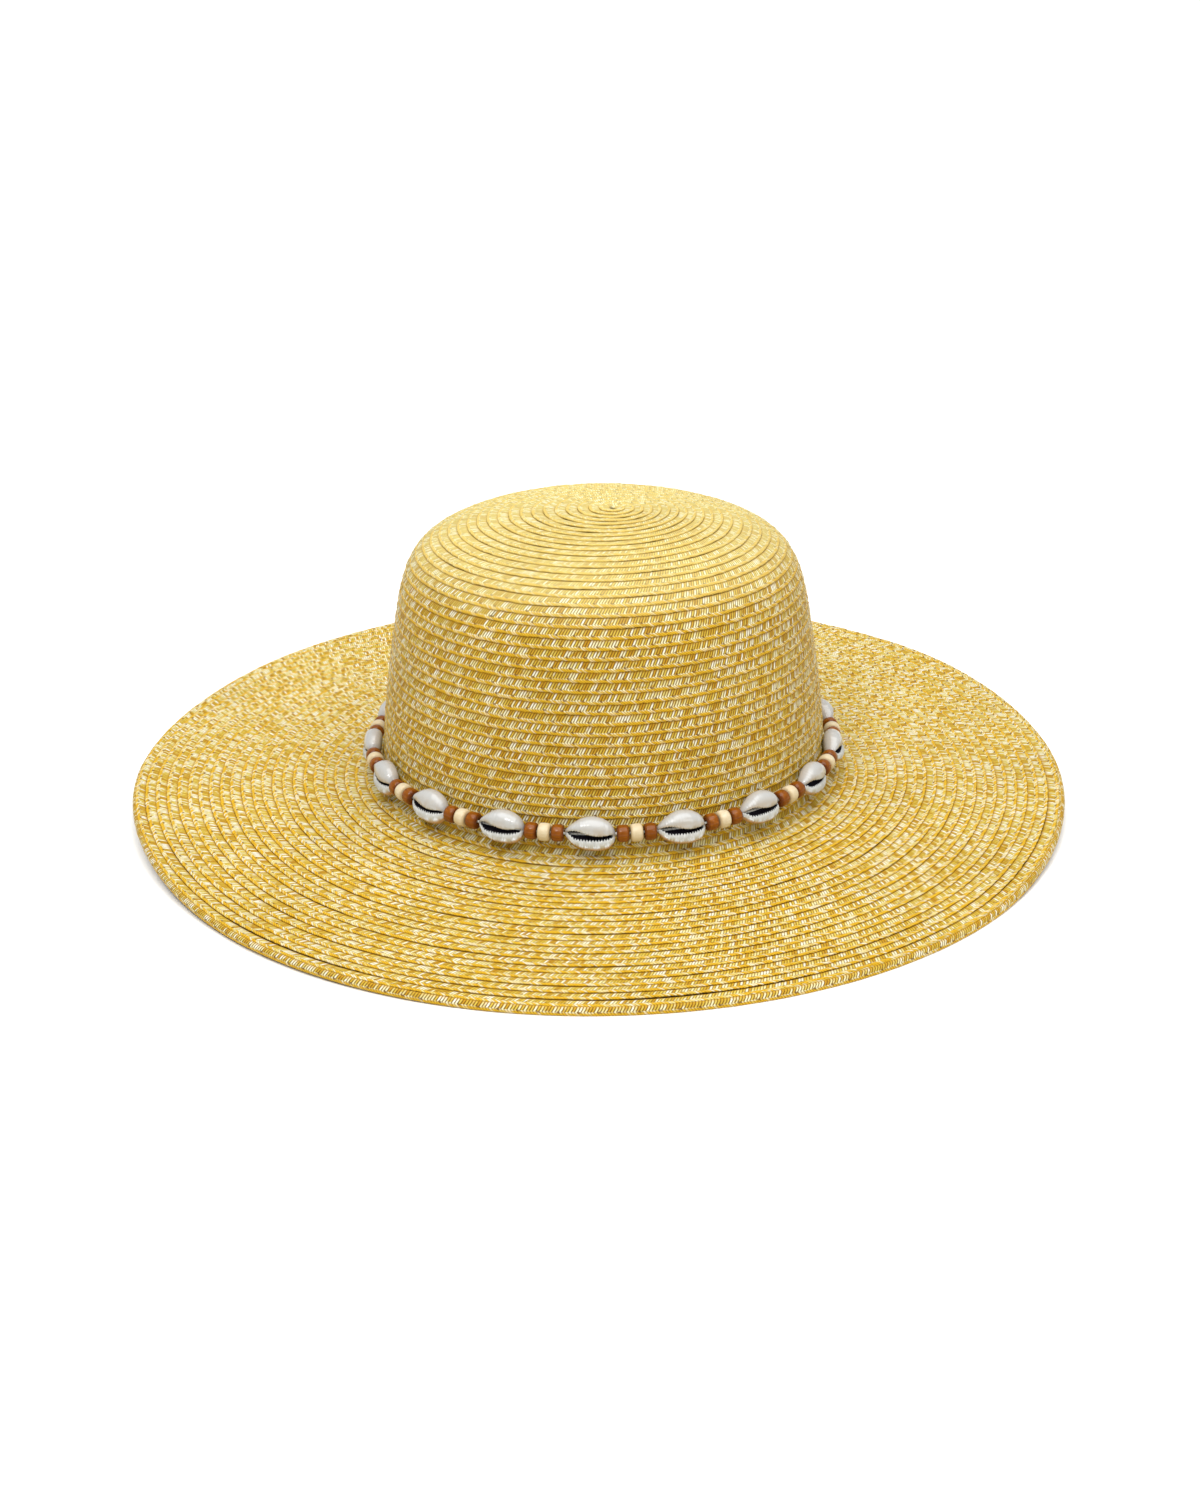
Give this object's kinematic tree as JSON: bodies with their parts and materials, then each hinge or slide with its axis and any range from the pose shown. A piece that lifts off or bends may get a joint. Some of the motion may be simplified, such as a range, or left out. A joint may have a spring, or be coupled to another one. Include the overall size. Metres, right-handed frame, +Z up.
{
  "type": "floppy straw sun hat",
  "caption": "Wide-brimmed straw sun hat with a round crown, a rolled brim edge and a band of cowrie shells and wooden beads around the foot of the crown.",
  "frame": {"origin": "middle of the hat, on the surface that its rolled edge rests on", "axes": "+Z up through the crown's top, -Y towards the front of the hat, +X to the right as one faces it"},
  "size_m": [0.393, 0.393, 0.1253],
  "materials": {
    "crown_straw": "sewn herringbone braid of golden and cream paper straw, satin",
    "brim_straw": "sewn herringbone braid of golden and cream paper straw, satin",
    "edge_straw": "braid rolled over on edge, satin",
    "cowrie": "polished natural shell, glossy",
    "cream_bead": "varnished pale wood",
    "brown_bead": "varnished reddish brown wood"
  },
  "bodies": {
    "root": {"crown": "crown_straw", "brim": "brim_straw", "rolled_edge": "edge_straw", "bead_cord": "brown_bead", "cowrie_01": "cowrie", "cowrie_02": "cowrie", "cowrie_03": "cowrie", "cowrie_04": "cowrie", "cowrie_05": "cowrie", "cowrie_06": "cowrie", "cowrie_07": "cowrie", "cowrie_08": "cowrie", "cowrie_09": "cowrie", "cowrie_10": "cowrie", "cowrie_11": "cowrie", "cowrie_12": "cowrie", "cowrie_13": "cowrie", "cowrie_14": "cowrie", "cowrie_15": "cowrie", "cowrie_16": "cowrie", "cowrie_17": "cowrie", "cream_bead_01": "cream_bead", "cream_bead_02": "cream_bead", "cream_bead_03": "cream_bead", "cream_bead_04": "cream_bead", "cream_bead_05": "cream_bead", "cream_bead_06": "cream_bead", "cream_bead_07": "cream_bead", "cream_bead_08": "cream_bead", "cream_bead_09": "cream_bead", "cream_bead_10": "cream_bead", "cream_bead_11": "cream_bead", "cream_bead_12": "cream_bead", "cream_bead_13": "cream_bead", "cream_bead_14": "cream_bead", "cream_bead_15": "cream_bead", "cream_bead_16": "cream_bead", "cream_bead_17": "cream_bead"}
  },
  "joints": []
}
